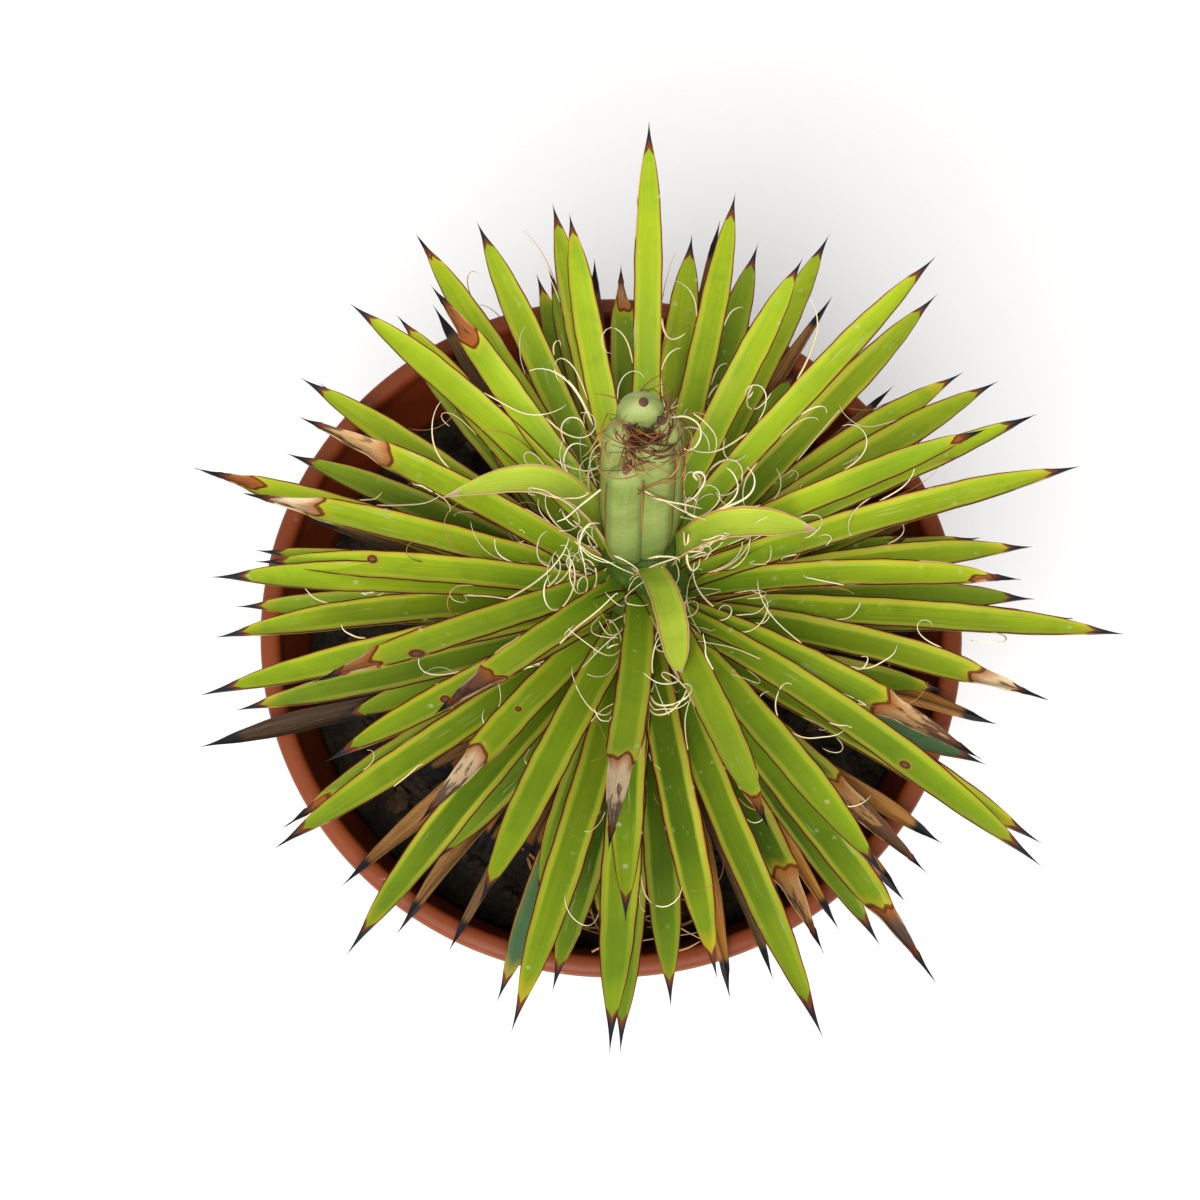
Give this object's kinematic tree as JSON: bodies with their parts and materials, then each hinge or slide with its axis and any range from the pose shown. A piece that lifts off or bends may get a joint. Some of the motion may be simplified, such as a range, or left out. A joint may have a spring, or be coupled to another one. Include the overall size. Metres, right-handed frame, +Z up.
{
  "type": "potted agave",
  "caption": "Thread-leaf agave, a dense rosette of narrow spine-tipped leaves leaning back in a round terracotta-coloured pot.",
  "frame": {"origin": "middle of the pot's flat underside, on the surface that the pot stands on", "axes": "+Z up along the pot's axis, -Y towards the front, +Y towards the side that the plant leans to"},
  "size_m": [0.1501, 0.1496, 0.17],
  "materials": {
    "pot": "terracotta-coloured, satin, scuffed pale along the lip",
    "soil": "dark crumbly potting soil with bark crumbs and fine roots",
    "leaf_bright": "bright yellow-green, satin, with a pale yellow stripe and a red-brown line along the edges and a dark spine",
    "leaf_dark": "older darker blue-green leaves, satin",
    "leaf_dry": "dead leaves, matt brown and grey, papery",
    "bud": "pale grey-green young leaves with a waxy bloom, red-brown seams and purple-brown tips"
  },
  "bodies": {
    "root": {"pot": "pot", "soil": "soil", "bud": "bud", "inner_leaves": "leaf_bright", "middle_leaves": "leaf_bright", "outer_leaves": "leaf_bright", "lower_leaves": "leaf_dark", "dry_leaves": "leaf_dry"}
  },
  "joints": []
}
